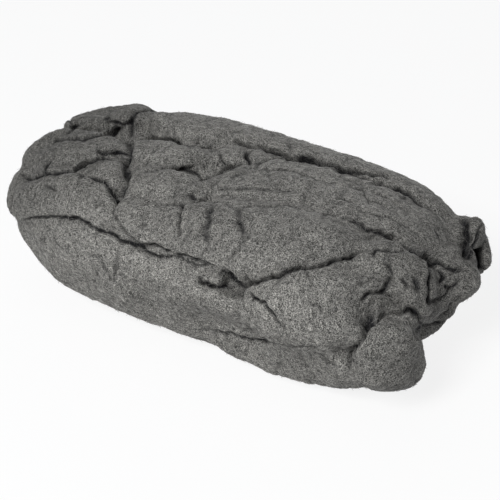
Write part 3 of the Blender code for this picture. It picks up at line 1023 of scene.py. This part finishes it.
# %% Words for geometry trees
class Flow:
    """Adds nodes to a geometry tree, each linked to what it is given."""

    def __init__(self, name):
        self.tree = bpy.data.node_groups.new(name, "GeometryNodeTree")
        self.inputs = {}
        self.entry = None

    def ask(self, name, kind, default=None):
        """A named input of the tree."""
        socket = self.tree.interface.new_socket(name, in_out="INPUT", socket_type=kind)
        if default is not None:
            socket.default_value = default
        self.inputs[name] = socket.identifier

    def given(self, name):
        """The socket that brings a named input in."""
        if self.entry is None:
            self.entry = self.tree.nodes.new("NodeGroupInput")
        return self.entry.outputs[name]

    def add(self, kind, output=0, settings=None, **values):
        """A node's output, with its inputs set by name or place, as in _0 for the first."""
        node = self.tree.nodes.new(kind)
        for key, value in (settings or {}).items():
            setattr(node, key, value)
        for key, value in values.items():
            key = int(key[1:]) if key.startswith("_") else key.replace("_", " ")
            if isinstance(value, bpy.types.NodeSocket):
                self.tree.links.new(value, node.inputs[key])
            else:
                node.inputs[key].default_value = value
        return node.outputs[output]

    def maths(self, sign, *values):
        """A Math node on sockets or numbers."""
        places = {f"_{i}": value for i, value in enumerate(values)}
        return self.add("ShaderNodeMath", settings={"operation": sign}, **places)

    def vectors(self, sign, *values, **named):
        """A Vector Math node on sockets or vectors."""
        places = {f"_{i}": value for i, value in enumerate(values)}
        return self.add("ShaderNodeVectorMath", settings={"operation": sign}, **places, **named)

    def attribute(self, name, kind):
        """An attribute that the mesh or the points carry."""
        return self.add("GeometryNodeInputNamedAttribute", settings={"data_type": kind}, Name=name)

    def random(self, low, high, seed):
        """A random number for each point."""
        row = self.add("FunctionNodeRandomValue", settings={"data_type": "FLOAT_VECTOR"},
                       _0=(low,) * 3, _1=(high,) * 3, Seed=seed)
        return self.add("ShaderNodeSeparateXYZ", Vector=row)


def strand_tree():
    """The tree that lays strands on the web."""
    flow = Flow("strands_on_web")
    flow.tree.interface.new_socket("Geometry", in_out="INPUT", socket_type="NodeSocketGeometry")
    flow.tree.interface.new_socket("Geometry", in_out="OUTPUT", socket_type="NodeSocketGeometry")
    flow.ask("Strands per square metre", "NodeSocketFloat", 50000.0)
    flow.ask("Shortest", "NodeSocketFloat", 0.006)
    flow.ask("Longest", "NodeSocketFloat", 0.016)
    flow.ask("Radius", "NodeSocketFloat", 0.00008)
    flow.ask("Turn", "NodeSocketFloat", 0.5)
    flow.ask("Lift", "NodeSocketFloat", 0.0003)
    flow.ask("Spring", "NodeSocketFloat", 0.0)
    flow.ask("Wave", "NodeSocketFloat", 0.001)
    flow.ask("Seed", "NodeSocketInt", 1)
    flow.ask("Material", "NodeSocketMaterial")
    web, seed = flow.given("Geometry"), flow.given("Seed")

    strew = flow.tree.nodes.new("GeometryNodeDistributePointsOnFaces")
    flow.tree.links.new(web, strew.inputs["Mesh"])
    flow.tree.links.new(flow.given("Strands per square metre"), strew.inputs["Density"])
    flow.tree.links.new(seed, strew.inputs["Seed"])
    points, out = strew.outputs["Points"], strew.outputs["Normal"]

    tone = flow.random(0.0, 1.0, flow.maths("ADD", seed, 1))
    points = flow.add("GeometryNodeStoreNamedAttribute", Geometry=points, Name="tone", Value=tone)
    lift = flow.maths("MULTIPLY", flow.given("Lift"), flow.random(0.1, 1.0, flow.maths("ADD", seed, 2)))
    points = flow.add("GeometryNodeStoreNamedAttribute", Geometry=points, Name="lift", Value=lift)
    spring = flow.maths("POWER", flow.random(0.0, 1.0, flow.maths("ADD", seed, 3)), 2.5)
    spring = flow.maths("MULTIPLY", flow.given("Spring"), spring)
    points = flow.add("GeometryNodeStoreNamedAttribute", Geometry=points, Name="spring", Value=spring)

    onward = flow.attribute("onward", "FLOAT_VECTOR")
    lie = flow.add("FunctionNodeAxesToRotation", settings={"primary_axis": "Z", "secondary_axis": "X"},
                   Primary_Axis=out, Secondary_Axis=onward)
    swing = flow.random(-1.0, 1.0, flow.maths("ADD", seed, 4))
    swing = flow.maths("MULTIPLY", swing, flow.given("Turn"))
    swing = flow.add("FunctionNodeAxisAngleToRotation", Axis=(0, 0, 1), Angle=swing)
    lie = flow.add("FunctionNodeRotateRotation", settings={"rotation_space": "LOCAL"},
                   Rotation=lie, Rotate_By=swing)

    length = flow.random(0.0, 1.0, flow.maths("ADD", seed, 5))
    length = flow.add("ShaderNodeMapRange", Value=length,
                      To_Min=flow.given("Shortest"), To_Max=flow.given("Longest"))
    size = flow.add("ShaderNodeCombineXYZ", X=length, Y=1.0, Z=1.0)
    line = flow.add("GeometryNodeCurvePrimitiveLine", Start=(-0.5, 0, 0), End=(0.5, 0, 0))
    line = flow.add("GeometryNodeResampleCurve", Curve=line, Count=STRAND_POINTS)
    laid = flow.add("GeometryNodeInstanceOnPoints", Points=points, Instance=line, Rotation=lie, Scale=size)
    laid = flow.add("GeometryNodeRealizeInstances", Geometry=laid)

    place = flow.add("GeometryNodeInputPosition")
    ripple = flow.add("ShaderNodeTexNoise", 1, {"noise_dimensions": "3D"},
                      Vector=place, Scale=RIPPLE_SCALE, Detail=0.0)
    ripple = flow.vectors("SUBTRACT", ripple, (0.5, 0.5, 0.5))
    ripple = flow.vectors("SCALE", ripple, Scale=flow.given("Wave"))
    waved = flow.vectors("ADD", place, ripple)
    on_web = flow.add("GeometryNodeProximity", Geometry=web, _2=waved)
    way = flow.add("GeometryNodeSampleNearestSurface", settings={"data_type": "FLOAT_VECTOR"},
                   Mesh=web, Value=flow.add("GeometryNodeInputNormal"), Sample_Position=waved)
    part = flow.add("GeometryNodeSplineParameter")
    arch = flow.maths("POWER", part, 2.0)
    rise = flow.maths("MULTIPLY", arch, flow.attribute("spring", "FLOAT"))
    rise = flow.maths("ADD", rise, flow.attribute("lift", "FLOAT"))
    above = flow.vectors("ADD", on_web, flow.vectors("SCALE", way, Scale=rise))
    laid = flow.add("GeometryNodeSetPosition", Geometry=laid, Position=above)

    taper = flow.maths("MULTIPLY", part, flow.maths("SUBTRACT", 1.0, part))
    taper = flow.maths("MULTIPLY_ADD", taper, 2.6, 0.35)
    laid = flow.add("GeometryNodeSetCurveRadius", Curve=laid, Radius=taper)
    ring = flow.add("GeometryNodeCurvePrimitiveCircle", Resolution=3, Radius=flow.given("Radius"))
    wires = flow.add("GeometryNodeCurveToMesh", Curve=laid, Profile_Curve=ring, Fill_Caps=True)
    wires = flow.add("GeometryNodeSetMaterial", Geometry=wires, Material=flow.given("Material"))
    end = flow.tree.nodes.new("NodeGroupOutput")
    flow.tree.links.new(wires, end.inputs["Geometry"])
    return flow


STRAND_POINTS = 3
RIPPLE_SCALE = 130.0
strands = strand_tree()
print("the strand tree has", len(strands.tree.nodes), "nodes")


# %% Lay the coats of strands
def coat(name, **measures):
    """One coat of strands on the web, as a plain mesh."""
    holder = link(name, pad.data.copy())
    layer = holder.modifiers.new("strands", "NODES")
    layer.node_group = strands.tree
    measures["Material"] = fibre_metal
    for key, value in measures.items():
        layer[strands.inputs[key.replace("_", " ")]] = value
    piece = applied(holder, name)
    for spare in ("onward", "run"):
        if spare in piece.data.attributes:
            piece.data.attributes.remove(piece.data.attributes[spare])
    triangles = sum(len(face.vertices) - 2 for face in piece.data.polygons)
    print(name, "has", triangles, "triangles")
    return piece


AREA = sum(face.area for face in pad.data.polygons)
STRANDS_PER_COAT = 13_500
DENSITY = STRANDS_PER_COAT / AREA
coats = [
    coat("close_strands_a", Strands_per_square_metre=DENSITY, Seed=11, Turn=0.8,
         Shortest=0.0018, Longest=0.0050, Radius=0.00009, Lift=0.00014, Wave=0.002),
    coat("close_strands_b", Strands_per_square_metre=DENSITY, Seed=23, Turn=1.6,
         Shortest=0.0015, Longest=0.0035, Radius=0.00010, Lift=0.00020, Wave=0.002),
    coat("close_strands_c", Strands_per_square_metre=DENSITY, Seed=37, Turn=1.6,
         Shortest=0.0015, Longest=0.0032, Radius=0.00011, Lift=0.00024, Wave=0.002),
    coat("loose_strands", Strands_per_square_metre=DENSITY, Seed=41, Turn=1.6,
         Shortest=0.0015, Longest=0.0040, Radius=0.00006, Lift=0.0003, Spring=0.0010, Wave=0.002),
]

# %% [markdown]
# ## The table and the light
#
# A pale floor catches the soft shadow, and the camera sees it as white. One broad lamp stands
# in front, low enough that the front is lighter than the top, with weak ones above and behind.

# %% Floor, lamps and sky
FLOOR_SIZE = 6
FLOOR_GLOW = 0.85
SKY_LIGHT = 0.20
LAMPS_AIM = Vector((0, 0, 0.04))


def direct_rays(start):
    """1 for a ray from the camera, a gloss or a clear body, and 0 for light that falls on things."""
    rays = start.made("ShaderNodeLightPath").socket.node.outputs
    kinds = ["Is Camera Ray", "Is Glossy Ray", "Is Transmission Ray"]
    camera, glossy, clear = [Term(start.tree, rays[kind]) for kind in kinds]
    return (camera + glossy).sum("ADD", clear, clamp=True)


def floor_material():
    material, start = new_material("pale_floor")
    cloth = start.made("ShaderNodeBsdfDiffuse", values={"Color": (0.86, 0.86, 0.86, 1)})
    white = start.made("ShaderNodeEmission", values={"Color": (1, 1, 1, 1), "Strength": 1})
    mixed = start.made("ShaderNodeMixShader", values={0: direct_rays(start) * FLOOR_GLOW, 1: cloth, 2: white})
    finish_material(start, mixed)
    return material


bpy.ops.mesh.primitive_plane_add(size=FLOOR_SIZE, location=(0, 0, 0))
floor = bpy.context.object
floor.name = "floor"
floor.data.materials.append(floor_material())


def lamp(name, place, power, size):
    """A soft square lamp aimed at the pad."""
    light = bpy.data.lights.new(name, "AREA")
    light.energy = power
    light.size = size
    holder = bpy.data.objects.new(name, light)
    holder.location = place
    holder.rotation_euler = (Vector(place) - LAMPS_AIM).to_track_quat("Z", "Y").to_euler()
    bpy.context.scene.collection.objects.link(holder)


lamp("front_lamp", (0.00, -1.16, 1.16), 27, 0.5)
lamp("top_lamp", (-0.30, 0.10, 1.60), 1, 0.9)
lamp("back_lamp", (-0.50, 1.30, 0.60), 4, 0.9)

sky = bpy.data.worlds.new("studio")
sky.use_nodes = True
sky.node_tree.nodes.clear()
start = Term(sky.node_tree, None)
lighting = start.made("ShaderNodeBackground", values={
    "Color": (0.88, 0.93, 1, 1), "Strength": SKY_LIGHT,
})
shown = start.made("ShaderNodeBackground", values={"Color": (1, 1, 1, 1), "Strength": 1})
mixed = start.made("ShaderNodeMixShader", values={0: direct_rays(start), 1: lighting, 2: shown})
start.made("ShaderNodeOutputWorld", values={"Surface": mixed})
bpy.context.scene.world = sky
bpy.context.scene.view_settings.view_transform = "Standard"
print("the floor, three lamps and the sky are set")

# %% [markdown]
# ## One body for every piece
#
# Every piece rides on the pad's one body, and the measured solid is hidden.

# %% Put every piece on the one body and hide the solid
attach(pad, "root")
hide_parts("steel_wool_pad")
for piece in coats:
    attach(piece, "root")
